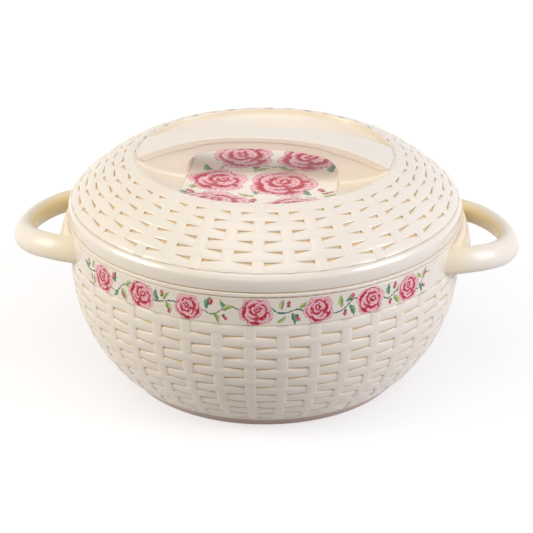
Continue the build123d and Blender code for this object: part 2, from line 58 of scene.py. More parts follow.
for name, place, size, power, tint in (
    ("lamp_over", (-0.1, -0.45, 1.7), 1.1, 5.9, (1, 0.985, 0.965)),
    ("lamp_left", (-1.5, -0.45, 0.8), 0.8, 16.2, (1, 0.965, 0.88)),
    ("lamp_right", (1.5, -0.45, 0.8), 0.8, 18.4, (0.86, 0.88, 1)),
):
    lamp = bpy.data.lights.new(name, "AREA")
    lamp.shape, lamp.size, lamp.energy, lamp.color = "SQUARE", size, power, tint
    holder = bpy.data.objects.new(name, lamp)
    holder.location = place
    holder.rotation_euler = (CAMERA_TARGET - Vector(place)).to_track_quat("-Z", "Y").to_euler()
    scene.collection.objects.link(holder)


def feed(tree, socket, value):
    """Gives a socket a number, a vector or a colour, or the output of another node."""
    if isinstance(value, bpy.types.NodeSocket):
        tree.links.new(value, socket)
    else:
        socket.default_value = value


def reckon(tree, operation, *values, clamp=False, kind="ShaderNodeMath"):
    """One step of arithmetic in a shader."""
    node = tree.nodes.new(kind)
    node.operation = operation
    if clamp:
        node.use_clamp = True
    for socket, value in zip(node.inputs, values):
        feed(tree, socket, value)
    return node.outputs[0]


def between(tree, share, low, high):
    """A share from 0 to 1 as a value from low to high."""
    return reckon(tree, "MULTIPLY_ADD", share, high - low, low)


def object_place(tree):
    """Where a point of the piece is."""
    return tree.nodes.new("ShaderNodeTexCoord").outputs["Object"]


def new_look(name):
    """New material: its node tree, its shader and the material itself."""
    look = bpy.data.materials.new(name)
    look.use_nodes = True
    return look.node_tree, look.node_tree.nodes["Principled BSDF"], look


def background_share(tree):
    """1 for rays from the camera, mirrors and glass, 0 for the light that falls on the object."""
    path = tree.nodes.new("ShaderNodeLightPath")
    share = reckon(tree, "MAXIMUM", path.outputs["Is Camera Ray"], path.outputs["Is Glossy Ray"])
    return reckon(tree, "MAXIMUM", share, path.outputs["Is Transmission Ray"])


AIR_LIGHT, AIR_WHITE = 0.34, 1.0
air = bpy.data.worlds.new("studio_air")
scene.world = air
air.use_nodes = True
air_tree = air.node_tree
sky = air_tree.nodes["Background"]
strength = between(air_tree, background_share(air_tree), AIR_LIGHT, AIR_WHITE)
air_tree.links.new(strength, sky.inputs["Strength"])
sky.inputs["Color"].default_value = (1, 1, 1, 1)

TABLE_REACH, NEAR_GLOW, FAR_GLOW = 6, 0.6, 0.35
floor_mesh = bpy.data.meshes.new("table_top")
plan = bmesh.new()
bmesh.ops.create_circle(plan, cap_ends=True, segments=96, radius=TABLE_REACH)
plan.to_mesh(floor_mesh)
plan.free()
table_top = bpy.data.objects.new("table_top", floor_mesh)
scene.collection.objects.link(table_top)
tree, paint, floor_look = new_look("table_top_white")
paint.inputs["Base Color"].default_value = (0.4, 0.385, 0.385, 1)
paint.inputs["Roughness"].default_value = 0.8
paint.inputs["Specular IOR Level"].default_value = 0.15
paint.inputs["Emission Color"].default_value = (1, 1, 1, 1)
spot = tree.nodes.new("ShaderNodeVectorMath")
spot.operation = "LENGTH"
tree.links.new(object_place(tree), spot.inputs[0])
glow = reckon(tree, "MULTIPLY_ADD", spot.outputs["Value"], FAR_GLOW, NEAR_GLOW, clamp=True)
glow = reckon(tree, "MULTIPLY", background_share(tree), glow)
tree.links.new(glow, paint.inputs["Emission Strength"])
floor_mesh.materials.append(floor_look)


# Inner bowl: stainless sheet spun over a former, which leaves fine rings round its floor and its wall.
# Its flat rim drops into the collar's step and is held there between collar and lid.
def shader_group(name, inputs, outputs):
    """Empty shader node group with named sockets, with its own ends."""
    group = bpy.data.node_groups.new(name, "ShaderNodeTree")
    for way, sockets in (("INPUT", inputs), ("OUTPUT", outputs)):
        for label, form in sockets.items():
            group.interface.new_socket(label, in_out=way, socket_type="NodeSocket" + form)
    given = group.nodes.new("NodeGroupInput").outputs
    wanted = group.nodes.new("NodeGroupOutput").inputs
    return group, given, wanted


def place_group(tree, group, **values):
    """Puts a node group in a material; values are numbers, colours or outputs of other nodes."""
    node = tree.nodes.new("ShaderNodeGroup")
    node.node_tree = group
    for label, value in values.items():
        feed(tree, node.inputs[label.replace("_", " ")], value)
    return node.outputs


def dress(node, look):
    """Gives a carried-over solid its finish."""
    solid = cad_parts[node]
    if not solid.material_slots:
        solid.data.materials.append(look)
    for held in solid.material_slots:
        held.link = "OBJECT"
        held.material = look


def noise(tree, vector, scale, detail):
    """Noise texture at a vector."""
    node = tree.nodes.new("ShaderNodeTexNoise")
    for label, value in (("Vector", vector), ("Scale", scale), ("Detail", detail)):
        feed(tree, node.inputs[label], value)
    return node.outputs


def raise_skin(tree, skin, height, depth):
    """Feeds a height into the shader's normal; depth is in metres."""
    bump = tree.nodes.new("ShaderNodeBump")
    bump.inputs["Distance"].default_value = depth
    tree.links.new(height, bump.inputs["Height"])
    tree.links.new(bump.outputs["Normal"], skin.inputs["Normal"])


def blend(tree, share, low, high):
    """Colour between low and high; each is a colour or the output of another node."""
    node = tree.nodes.new("ShaderNodeMix")
    node.data_type = "RGBA"
    for label, value in (("Factor", share), ("A", low), ("B", high)):
        socket = next(s for s in node.inputs if s.name == label and s.enabled)
        feed(tree, socket, (*value, 1) if isinstance(value, tuple) else value)
    return next(s for s in node.outputs if s.enabled)


def grained(tree, skin, share, colours, roughness, depth):
    """Colour, roughness and relief of a shader, all following one share from 0 to 1."""
    tree.links.new(blend(tree, share, *colours), skin.inputs["Base Color"])
    tree.links.new(between(tree, share, *roughness), skin.inputs["Roughness"])
    raise_skin(tree, skin, share, depth)


def parts_of(tree, vector):
    """The three numbers that make up a vector."""
    node = tree.nodes.new("ShaderNodeSeparateXYZ")
    tree.links.new(vector, node.inputs[0])
    return node.outputs


def length_of(tree, x, y):
    """Distance of a flat place from the middle."""
    squares = reckon(tree, "ADD", reckon(tree, "MULTIPLY", x, x), reckon(tree, "MULTIPLY", y, y))
    return reckon(tree, "SQRT", squares)


spun_rings, given, wanted = shader_group("spun_rings", {"Ring Width": "Float"}, {"Rings": "Float"})
x, y, height = parts_of(spun_rings, object_place(spun_rings))
flat = spun_rings.nodes.new("ShaderNodeCombineXYZ")
for value, socket in zip((length_of(spun_rings, x, y), height), flat.inputs):
    spun_rings.links.new(reckon(spun_rings, "DIVIDE", value, given["Ring Width"]), socket)
spun_rings.links.new(noise(spun_rings, flat.outputs[0], scale=1.0, detail=3.0)["Fac"], wanted["Rings"])

tree, skin, spun_steel = new_look("spun_steel")
rings = place_group(tree, spun_rings, Ring_Width=0.0007)["Rings"]
skin.inputs["Metallic"].default_value = 1.0
grained(tree, skin, rings, colours=((0.56, 0.56, 0.57), (0.78, 0.78, 0.78)), roughness=(0.16, 0.36),
        depth=0.00004)
dress("inner_bowl", spun_steel)


# Collar: moulded ring that joins the inner bowl to the outer one. Its bead is the thin line under the lid.
# It is pearl ivory plastic like most of the moulded pieces, with the mould's fine peel and painted warm shade
# in its hollows.
def scaled(tree, vector, factor):
    """A vector or colour times a factor."""
    node = tree.nodes.new("ShaderNodeVectorMath")
    node.operation = "SCALE"
    tree.links.new(vector, node.inputs[0])
    tree.links.new(factor, node.inputs["Scale"])
    return node.outputs[0]


mould_peel, given, wanted = shader_group(
    "mould_peel",
    {"Peel Size": "Float"},
    {"Peel": "Float", "Cloud": "Float"},
)
place = object_place(mould_peel)
mould_peel.links.new(noise(mould_peel, place, scale=28.0, detail=2.0)["Fac"], wanted["Cloud"])
shrunk = scaled(mould_peel, place, reckon(mould_peel, "DIVIDE", 1.0, given["Peel Size"]))
mould_peel.links.new(noise(mould_peel, shrunk, scale=1.0, detail=2.0)["Fac"], wanted["Peel"])

# Painted shade: blends a warm shade colour into the shell's colour where ambient occlusion finds a hollow and
# where the shading tone is low. It stands in for shadow and for the glow of translucent plastic.
painted_hollow_shade, given, wanted = shader_group(
    "painted_hollow_shade",
    {"Shell": "Color", "Hollow": "Color", "Openness": "Float", "Strength": "Float", "Relief": "Float",
     "Cloud": "Float"},
    {"Colour": "Color"},
)
closed_share = reckon(painted_hollow_shade, "SUBTRACT", 1.0, given["Openness"])
closed_share = reckon(painted_hollow_shade, "MULTIPLY", closed_share, given["Strength"])
open_share = reckon(painted_hollow_shade, "SUBTRACT", 1.0, closed_share, clamp=True)
share = reckon(painted_hollow_shade, "MULTIPLY", open_share, given["Relief"], clamp=True)
tinted = blend(painted_hollow_shade, share, given["Hollow"], given["Shell"])
cloudy = between(painted_hollow_shade, given["Cloud"], 0.975, 1.025)
painted_hollow_shade.links.new(scaled(painted_hollow_shade, tinted, cloudy), wanted["Colour"])

def attribute(tree, name):
    """What each point of a mesh holds under a name."""
    node = tree.nodes.new("ShaderNodeAttribute")
    node.attribute_name = name
    return node.outputs


# IVORY is the plastic's own colour; AMBER_SHADE and TAN_SHADE are painted shade, mixed in where hollows and
# gaps are shaded.
IVORY, AMBER_SHADE, TAN_SHADE = (0.88, 0.79, 0.675), (0.74, 0.54, 0.3), (0.76, 0.6, 0.36)


def pearl_plastic(name, shell=IVORY, hollow_shade=TAN_SHADE, reach=0.012, strength=1.2, roughness=0.34, coat=0.3,
                  shading_tone=None):
    """Pearl-gloss plastic with painted warm shade in its hollows. Reach is how far away a wall still brings
    that painted shade into a hollow.

    Shading tone names the attribute that holds the painted shade of each point, 0 in the depth and 1 on top."""
    tree, skin, look = new_look(name)
    peel = place_group(tree, mould_peel, Peel_Size=0.0009)
    openness = tree.nodes.new("ShaderNodeAmbientOcclusion")
    openness.samples = 6
    openness.inputs["Distance"].default_value = reach
    depth = attribute(tree, shading_tone)["Fac"] if shading_tone else 1.0
    colour = place_group(
        tree, painted_hollow_shade, Shell=(*shell, 1), Hollow=(*hollow_shade, 1),
        Openness=openness.outputs["AO"], Strength=strength, Relief=depth, Cloud=peel["Cloud"],
    )["Colour"]
    tree.links.new(colour, skin.inputs["Base Color"])
    cloudy = between(tree, peel["Cloud"], roughness - 0.05, roughness + 0.05)
    tree.links.new(cloudy, skin.inputs["Roughness"])
    skin.inputs["Coat Weight"].default_value = coat
    skin.inputs["Coat Roughness"].default_value = 0.12
    skin.inputs["Sheen Weight"].default_value = 0.06
    skin.inputs["Sheen Tint"].default_value = (1, 0.9, 0.87, 1)
    raise_skin(tree, skin, peel["Peel"], depth=0.00002)
    return look


pearl_ivory = pearl_plastic("pearl_ivory")
dress("rim_collar", pearl_ivory)


# Outer bowl: injection-moulded pearl plastic with a basket weave on it; painted amber shade fills the gaps
# between strips, standing in for their shadow and the glow of the translucent plastic.
# Forty upright stakes stand on the wall; eleven rows of flat strips pass over one stake and under the next.
# A smooth band above takes the printed film and the handles, and a smooth hem below meets the base cover.
BOWL_BELLY, BOWL_FOOT, BELLY_HEIGHT, BELLY_CURVE = 0.1299, 0.0926, 0.088, 2.45
BAND_INSIDE, BAND_RADIUS, BAND_TOP, BAND_LOW = 0.1273, 0.1306, 0.1092, 0.0902
HEM_TOP, HEM_LOW = 0.0108, 0.0063
WALL_POINTS, SPUN_SIDES, WELD = 400, 192, 0.000002
BOWL_ROWS, FINE, STAKES = 11, 6, 40
STAKE_STEP = 2 * pi / STAKES
STRIP_RISE, STRIP_TUCK, STRIP_SINK, STAKE_RISE, GROUND_SINK = 0.00122, 0.00058, 0.001, 0.00102, 0.0002
DIVE_START, DIVE_LENGTH, DIVE_ROUND = 0.26, 0.7, 0.75
# Painted shade: the tone of the ground in the gaps, and how much lighter stakes and strips are on top and
# darker at their edges.
WALL_TONE, STAKE_LIGHT, STAKE_DARK, STRIP_LIGHT, STRIP_DARK, SWELL_LIGHT = 0.55, 0.6, 0.2, 0.5, 0.1, 0.12
STAKE_EDGE = [(-1, -0.3), (-1, 0.4), (-0.95, 0.66), (-0.84, 0.84), (-0.6, 0.96), (0, 1.02)]
STRIP_EDGE = [(-1, -0.5), (-1, 0.16), (-0.96, 0.38), (-0.86, 0.6), (-0.68, 0.79), (-0.42, 0.93), (0, 1.01)]
HALF_STRIP = [0, 0.1, 0.19, 0.28, 0.37, 0.46, 0.55, 0.64, 0.72, 0.8, 0.88, 0.96, 1.03]


def clip(value, low=0.0, high=1.0):
    """A value kept between two bounds."""
    return min(high, max(low, value))


def both_sides(half):
    """A profile given to its middle, carried on to the other side."""
    return half + [(-side, lift) for side, lift in half[-2::-1]]


def bowl_radius(height):
    """Plain wall of the bowl at a height."""
    fall = max(0.0, (BELLY_HEIGHT - height) / BELLY_HEIGHT)
    return BOWL_BELLY - (BOWL_BELLY - BOWL_FOOT) * fall**BELLY_CURVE


def even_places(line, count):
    """Places that cut a wall line, given as many (radius, height) points, into equal lengths."""
    run = [0.0]
    for a, b in zip(line, line[1:]):
        run.append(run[-1] + hypot(b[0] - a[0], b[1] - a[1]))
    places, k = [], 0
    for step in range(count + 1):
        want = run[-1] * step / count
        while k < len(line) - 2 and run[k + 1] < want:
            k += 1
        share = (want - run[k]) / (run[k + 1] - run[k])
        places.append([line[k][i] + (line[k + 1][i] - line[k][i]) * share for i in (0, 1)])
    return places


def wall_frame(places, position):
    """Point of the wall and its outward normal at a position counted in places."""
    k = clip(int(position), 0, len(places) - 2)
    share = position - k
    (r0, z0), (r1, z1) = places[k], places[k + 1]
    before, after = places[max(k - 1, 0)], places[min(k + 2, len(places) - 1)]
    dr = (r1 - before[0]) * (1 - share) + (after[0] - r0) * share
    dz = (z1 - before[1]) * (1 - share) + (after[1] - z0) * share
    size = hypot(dr, dz)
    return r0 + (r1 - r0) * share, z0 + (z1 - z0) * share, -dz / size, dr / size


def on_wall(places, position, angle, rise):
    """Point at a rise over the wall, at a position down it and an angle round it."""
    r, z, out, up = wall_frame(places, position)
    return ((r + out * rise) * cos(angle), (r + out * rise) * sin(angle), z + up * rise)


def lay_patch(mesh, rows, layer=None, tones=(), look=0):
    """Quads between rows of points, with a tone at each point; look counts the piece's materials."""
    grid = [[mesh.verts.new(point) for point in row] for row in rows]
    for line, row_tones in zip(grid, tones):
        for vertex, tone in zip(line, row_tones):
            vertex[layer] = tone
    for upper, lower in zip(grid, grid[1:]):
        for i in range(len(upper) - 1):
            face = mesh.faces.new((upper[i], upper[i + 1], lower[i + 1], lower[i]))
            face.smooth, face.material_index = True, look


def weave(mesh, shading_tone, places, rows, phase, shares, gaps, crown):
    """Wall, stakes and strips between the first and the last place of a wall line.

    Shares are the stakes' widths at both ends, as shares of the stake spacing; the shading tone is painted
    shade, 0 in the gaps and highest on the tops of stakes and strips.
    Gaps are how much a strip's upper and lower edge draws in where it dives behind a stake.
    Crown is how round the strips are."""
    count = rows * FINE
    rounds = [phase + STAKE_STEP * k / 4 for k in range(4 * STAKES + 1)]
    wall = [[on_wall(places, p, angle, -GROUND_SINK) for angle in rounds] for p in range(count + 1)]
    lay_patch(mesh, wall, shading_tone, [[0.0] * len(rounds)] * len(wall))

    def share_at(p):
        return shares[0] + (shares[1] - shares[0]) * p / count

    stake_edge = both_sides(STAKE_EDGE)
    # Painted shade: a stake is lighter on its crown and darker towards its edges.
    stake_tones = [clip(WALL_TONE + lift * STAKE_LIGHT, STAKE_DARK) for _, lift in stake_edge]
    for k in range(STAKES):
        lines = [
            [on_wall(places, p, phase + (k + share_at(p) / 2 * side) * STAKE_STEP, STAKE_RISE * lift)
             for side, lift in stake_edge]
            for p in range(count + 1)
        ]
        lay_patch(mesh, lines, shading_tone, [stake_tones] * len(lines))

    flattened = [(side, 1 - (1 - lift) * crown if lift > 0 else lift) for side, lift in STRIP_EDGE]
    strip_edge = both_sides(flattened)
    turns = [-t for t in HALF_STRIP[:0:-1]] + HALF_STRIP
    for row in range(rows):
        a, b = places[row * FINE], places[(row + 1) * FINE]
        length = hypot(b[0] - a[0], b[1] - a[1])
        share = share_at((row + 0.5) * FINE)
        for k in range(STAKES):
            if (row + k) % 2 == 0:
                continue
            lines, tones = [], []
            for turn in turns:
                reach = abs(turn)
                dive = clip((reach - DIVE_START) / DIVE_LENGTH)
                swell = (1 + cos(pi * dive)) / 2 * DIVE_ROUND + (1 - dive) * (1 - DIVE_ROUND)
                draw = clip((reach - share * 0.5) / (1 - share))
                upper = 0.5 - (gaps[0] * draw / length if row else 0)
                lower = 0.5 - (gaps[1] * draw / length if row < rows - 1 else 0)
                rise = STRIP_TUCK + (STRIP_RISE - STRIP_TUCK) * swell
                lines.append([
                    on_wall(places, (row + 0.5 + (upper if side < 0 else lower) * side) * FINE,
                            phase + (k + turn) * STAKE_STEP, lift * (rise if lift > 0 else STRIP_SINK))
                    for side, lift in strip_edge
                ])
                # Painted shade: a strip is lighter on its crown and where it swells over a stake, darker at
                # its edges.
                tones.append([clip(WALL_TONE + lift * STRIP_LIGHT + SWELL_LIGHT * swell, STRIP_DARK)
                              for _, lift in strip_edge])
            lay_patch(mesh, lines, shading_tone, tones)


def spun_line(mesh, layer, line, tone=1.0, look=1):
    """Smooth surface turned about the axis through (radius, height) points; tone is one for all or a list."""
    rounds = [2 * pi * k / SPUN_SIDES for k in range(SPUN_SIDES + 1)]
    tones = tone if isinstance(tone, list) else [tone] * len(line)
    lay_patch(mesh, [[(r * cos(a), r * sin(a), z) for a in rounds] for r, z in line],
              layer, [[t] * len(rounds) for t in tones], look)


def settled(name, mesh):
    """Turns a bmesh into an object, its doubled points merged and its faces turned outward."""
    bmesh.ops.remove_doubles(mesh, verts=mesh.verts, dist=WELD)
    bmesh.ops.recalc_face_normals(mesh, faces=mesh.faces)
    data = bpy.data.meshes.new(name)
    mesh.to_mesh(data)
    mesh.free()
    piece = bpy.data.objects.new(name, data)
    scene.collection.objects.link(piece)
    return piece


def finished(name, mesh, looks, body, node, crease=None):
    """Turns a bmesh into a piece that rides on a body, stands for a node and takes a slot's finish."""
    piece = settled(name, mesh)
    if crease:
        piece.data.set_sharp_from_angle(angle=crease)
    for look in looks:
        piece.data.materials.append(look)
    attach(piece, body)
    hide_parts(node)


# Painted shade: the weave takes amber in its gaps, and the smooth parts take tan in their hollows.
woven_pearl = pearl_plastic("woven_pearl", hollow_shade=AMBER_SHADE, reach=0.004, strength=0.5, shading_tone="shading_tone")
smooth_pearl = pearl_plastic("smooth_pearl", reach=0.006, strength=0.7, roughness=0.3, coat=0.6,
                             shading_tone="shading_tone")
wall_line = [BAND_LOW + (HEM_TOP - BAND_LOW) * i / WALL_POINTS for i in range(WALL_POINTS + 1)]
bowl_line = even_places([(bowl_radius(z), z) for z in wall_line], BOWL_ROWS * FINE)
shell = bmesh.new()
shading_tone = shell.verts.layers.float.new("shading_tone")
weave(shell, shading_tone, bowl_line, BOWL_ROWS, phase=-pi / 2, shares=(0.37, 0.38), gaps=(0.0013, 0.0002),
      crown=1.0)
spun_line(shell, shading_tone, [(BAND_INSIDE, BAND_TOP)] + [(BAND_RADIUS - back, z) for back, z in (
    (0.0006, BAND_TOP), (0.00015, BAND_TOP - 0.0002), (0, BAND_TOP - 0.0006), (0, BAND_LOW + 0.0005),
    (0.0002, BAND_LOW + 0.0001), (0.0006, BAND_LOW), (0.0022, BAND_LOW - 0.0001),
)])
upper, lower = bowl_radius(HEM_TOP), bowl_radius(HEM_LOW)
# Painted shade: the hem's tone of 0.75 tints it partly towards the tan shade colour, darker than the band.
spun_line(shell, shading_tone, [
    (upper - 0.001, HEM_TOP + 0.0002), (upper + 0.0003, HEM_TOP), (upper + 0.0006, HEM_TOP - 0.0004),
    (lower + 0.0006, HEM_LOW + 0.0002), (lower - 0.0024, HEM_LOW),
], tone=0.75)
finished("bowl_shell", shell, (woven_pearl, smooth_pearl), "bowl", "outer_bowl")


# Handle screws: two pan-head self-tapping screws for each side handle, of zinc-plated steel.
# They are driven through the bowl's wall from inside, before the inner bowl closes them in.
tree, skin, zinc = new_look("zinc_plate")
grain = noise(tree, object_place(tree), scale=1500.0, detail=3.0)["Fac"]
skin.inputs["Metallic"].default_value = 1.0
grained(tree, skin, grain, colours=((0.5, 0.5, 0.52), (0.68, 0.67, 0.64)), roughness=(0.2, 0.45),
        depth=0.00002)
for node in ("handle_screws_left", "handle_screws_right"):
    dress(node, zinc)


# Side handles: solid moulded loops of the same plastic, round outside and flat inside, each with a
# wedge-shaped pad that lies against the smooth band. The screws above pull them on from inside.
GRIP_REACH, GRIP_ROOT, GRIP_HALF, GRIP_DROOP = 0.1637, 0.1105, 0.0464, 4.2
GRIP_THICK, GRIP_SWELL, GRIP_DEEP, GRIP_LEAN, GRIP_HEIGHT = 0.0096, 0.0026, 0.0174, radians(25), 0.0984
GRIP_SIDES, GRIP_SECTIONS, GRIP_STEP, GRIP_END = 40, 45, 4, 88
OUTSIDE_POWER, INSIDE_POWER = 2 / 2.1, 2 / 3.6
PAD_TURN, PAD_FOOT, PAD_HEAD, PAD_LOW, PAD_HIGH = radians(18.5), 0.008, 0.0045, 0.0909, 0.1085
PAD_ROUND, PAD_SUNK, PAD_THIN, PAD_STEPS, PAD_CORNER = 0.003, 0.0012, 0.3, 12, 5
MELT_GRAIN, EVEN_SHARE, EVEN_ROUNDS = 0.0009, 0.5, 10
# Painted shade: where the inner faces of the loop and its roots are tinted towards the handle's yellow shade
# colour.
INSIDE_START, INSIDE_SPAN, ROOT_START, ROOT_LENGTH, ROOT_TONE = -0.62, 0.36, 0.1305, 0.022, 0.6


def loop_away(around):
    """Direction that leads out of the loop at an angle."""
    return Vector((GRIP_HALF * cos(around), (GRIP_REACH - GRIP_ROOT) * sin(around), 0)).normalized()


def rounded(share, power):
    """A sine or cosine bent to a squarer or rounder curve."""
    return (1 if share > 0 else -1) * abs(share) ** power


def grip_loop(around):
    """Closed section of the grip at an angle of its loop, leaning outward at its lower side."""
    out, side = GRIP_ROOT + (GRIP_REACH - GRIP_ROOT) * cos(around), GRIP_HALF * sin(around)
    drop = GRIP_DROOP * max(0.0, out - BAND_RADIUS) ** 2
    away = loop_away(around)
    middle = Vector((out, side, GRIP_HEIGHT - drop))
    thick = GRIP_THICK + GRIP_SWELL * max(0.0, cos(around)) ** 2
    points = []
    for k in range(GRIP_SIDES):
        c, u = cos(2 * pi * k / GRIP_SIDES), sin(2 * pi * k / GRIP_SIDES)
        power = OUTSIDE_POWER if c > 0 else INSIDE_POWER
        x, z = thick / 2 * rounded(c, power), GRIP_DEEP / 2 * rounded(u, power)
        x, z = x * cos(GRIP_LEAN) - z * sin(GRIP_LEAN), x * sin(GRIP_LEAN) + z * cos(GRIP_LEAN)
        points.append(middle + away * x + Vector((0, 0, z)))
    return points + points[:1]


def pad_ring(turn):
    """Closed upright section of the pad at an angle round the band, thinner towards the pad's two ends."""
    end = min(1.0, (PAD_TURN - abs(turn)) * BAND_RADIUS / PAD_ROUND + 0.0001)
    slim = PAD_THIN + (1 - PAD_THIN) * sqrt(max(0.0, 1 - (1 - end) ** 2))
    ring = [(-PAD_SUNK, PAD_LOW), (-PAD_SUNK, PAD_HIGH)]
    corners = ((PAD_HIGH - PAD_ROUND, pi / 2, PAD_HEAD), (PAD_LOW + PAD_ROUND, 0, PAD_FOOT))
    for middle, start, thick in corners:
        for i in range(PAD_CORNER + 1):
            bend = start - pi / 2 * i / PAD_CORNER
            ring.append((thick * slim - PAD_ROUND + PAD_ROUND * cos(bend), middle + PAD_ROUND * sin(bend)))
    places = [(BAND_RADIUS + out, z) for out, z in ring + ring[:1]]
    return [(r * cos(turn), r * sin(turn), z) for r, z in places]


def close_ends(mesh, rows):
    """Fills the two end loops of a tube."""
    for row in (rows[0], rows[-1]):
        mesh.faces.new([mesh.verts.new(point) for point in row[:-1]])


def side_handle(name, node, side):
    """Grip and pad, melted into one skin, with a painted shade mask that is low inside the loop and at its
    roots.
    """
    solid = bmesh.new()
    grip = [grip_loop(radians(GRIP_STEP * k - GRIP_END)) for k in range(GRIP_SECTIONS)]
    pad = [pad_ring(PAD_TURN * (k / PAD_STEPS - 1)) for k in range(2 * PAD_STEPS + 1)]
    for rows in (grip, pad):
        lay_patch(solid, rows)
        close_ends(solid, rows)
    rough = settled(name + "_rough", solid)
    melt = rough.modifiers.new("melt", "REMESH")
    melt.mode, melt.voxel_size, melt.use_smooth_shade = "VOXEL", MELT_GRAIN, True
    even = rough.modifiers.new("even", "SMOOTH")
    even.factor, even.iterations = EVEN_SHARE, EVEN_ROUNDS
    melted = bpy.data.meshes.new_from_object(rough.evaluated_get(bpy.context.evaluated_depsgraph_get()))
    bpy.data.objects.remove(rough)
    skin = bmesh.new()
    skin.from_mesh(melted)
    shade_mask = skin.verts.layers.float.new("shading_tone")
    skin.normal_update()
    for vertex in skin.verts:
        x, y, z = vertex.co
        around = atan2(y / GRIP_HALF, (x - GRIP_ROOT) / (GRIP_REACH - GRIP_ROOT))
        inside = clip((vertex.normal.dot(loop_away(around)) - INSIDE_START) / INSIDE_SPAN)
        root = clip((x - ROOT_START) / ROOT_LENGTH)
        vertex[shade_mask] = inside * (ROOT_TONE + (1 - ROOT_TONE) * root)
        vertex.co = (side * x, side * y, z)
    for face in skin.faces:
        face.smooth = True
    finished(name, skin, (handle_pearl,), "bowl", node)


# Painted shade: the yellow hollow colour stands in for the shade inside the loop and the glow of the
# translucent plastic there.
handle_pearl = pearl_plastic("handle_pearl", hollow_shade=(0.93, 0.77, 0.45), reach=0.02, strength=0.3,
                             roughness=0.36, coat=0.2, shading_tone="shading_tone")
side_handle("grip_left", "handle_left", -1)
side_handle("grip_right", "handle_right", 1)


# Band film: a printed strip laid round the front of the band under gloss lacquer, with a garland on cream.
# Ruffled blossoms, buds and leaves hang on green stems; the print is worked out in millimetres on the film.
MM, INK_FAINTEST, INK_SHARP, INK_CONTRAST, INK_DEEP = 1000, 0.2, 5.0, 1.65, 0.5


def in_print(tree, place, middle_x, middle_y, turn):
    """Place on the film seen from a motif: moved to its middle and turned with it, both in millimetres."""
    x, y, _ = parts_of(tree, place)
    dx, dy = reckon(tree, "SUBTRACT", x, middle_x), reckon(tree, "SUBTRACT", y, middle_y)
    c, s = reckon(tree, "COSINE", turn), reckon(tree, "SINE", turn)
    along = reckon(tree, "ADD", reckon(tree, "MULTIPLY", dx, c), reckon(tree, "MULTIPLY", dy, s))
    across = reckon(tree, "SUBTRACT", reckon(tree, "MULTIPLY", dy, c), reckon(tree, "MULTIPLY", dx, s))
    return along, across


def soft_edge(tree, value, edge, width):
    """1 where value is below edge, falling to 0 over a width."""
    return reckon(tree, "DIVIDE", reckon(tree, "SUBTRACT", edge, value), width, clamp=True)


def motif_group(name, **more):
    """Group that adds one motif to an ink plate, and its arithmetic; a plate is 0 where the paper is bare."""
    sockets = {"Place": "Vector", "Middle X": "Float", "Middle Y": "Float", "Size": "Float", "Turn": "Float"}
    group, given, wanted = shader_group(name, sockets | more | {"Plate": "Float"}, {"Plate": "Float"})
    along, across = in_print(group, given["Place"], given["Middle X"], given["Middle Y"], given["Turn"])
    u = reckon(group, "DIVIDE", along, given["Size"])
    v = reckon(group, "DIVIDE", across, given["Size"])
    return group, partial(reckon, group), given, wanted, u, v


def ink(group, given, wanted, cover, tone):
    """Lays a motif over the plate: tone from 0, the deep ink, to 1, the pale one."""
    shown = between(group, tone, INK_FAINTEST, 1.0)
    change = reckon(group, "MULTIPLY", cover, reckon(group, "SUBTRACT", shown, given["Plate"]))
    group.links.new(reckon(group, "ADD", given["Plate"], change), wanted["Plate"])


PETAL_RINGS = (
    (0.98, 2.5, 0.3, 0.3, 0.0, 0.0), (0.76, 2, 1.3, 0.3, 0.08, 0.06), (0.56, 1.5, 0.2, 0.26, -0.05, 0.15),
    (0.34, 1.5, 0.9, 0.2, 0.04, 0.18), (0.15, 1, 0.4, 0.12, -0.02, 0.22),
)
PETAL_NOTCH, PETAL_BASE, PETAL_ROUND, PETAL_SHARP = 0.25, 0.77, 0.5, 9.0
PETAL_PALE, PETAL_FADE, FADE_POWER, FOLD_SHADE = 1.15, -1.7, 1.7, 1.9
STREAK_COUNT, STREAK_SWEEP, STREAK_DEPTH = 26.0, 9.0, 0.14
blossom, step, given, wanted, u, v = motif_group("printed_blossom")
tone, cover = 0.5, 0.0
for reach, count, start, width, slip, lift in PETAL_RINGS:
    raised, slipped = step("SUBTRACT", v, lift), step("SUBTRACT", u, slip)
    out = length_of(blossom, slipped, raised)
    swing = step("ARCTAN2", raised, slipped)
    scallop = step("ABSOLUTE", step("COSINE", step("MULTIPLY_ADD", swing, count, start)))
    edge = step("MULTIPLY_ADD", step("POWER", scallop, PETAL_ROUND), PETAL_NOTCH * reach, PETAL_BASE * reach)
    depth = step("DIVIDE", step("SUBTRACT", edge, out), width)
    pale = step("POWER", step("MAXIMUM", depth, 0.0), FADE_POWER)
    pale = step("MULTIPLY_ADD", pale, PETAL_FADE, PETAL_PALE)
    pale = step("MULTIPLY", pale, step("MULTIPLY", scallop, FOLD_SHADE, clamp=True))
    streaks = step("SINE", step("MULTIPLY_ADD", swing, STREAK_COUNT, step("MULTIPLY", out, STREAK_SWEEP)))
    pale = step("MULTIPLY_ADD", streaks, STREAK_DEPTH, pale, clamp=True)
    share = step("MULTIPLY", depth, PETAL_SHARP, clamp=True)
    tone = step("MULTIPLY_ADD", share, step("SUBTRACT", pale, tone), tone)
    cover = step("MAXIMUM", share, cover)
ink(blossom, given, wanted, cover, tone)

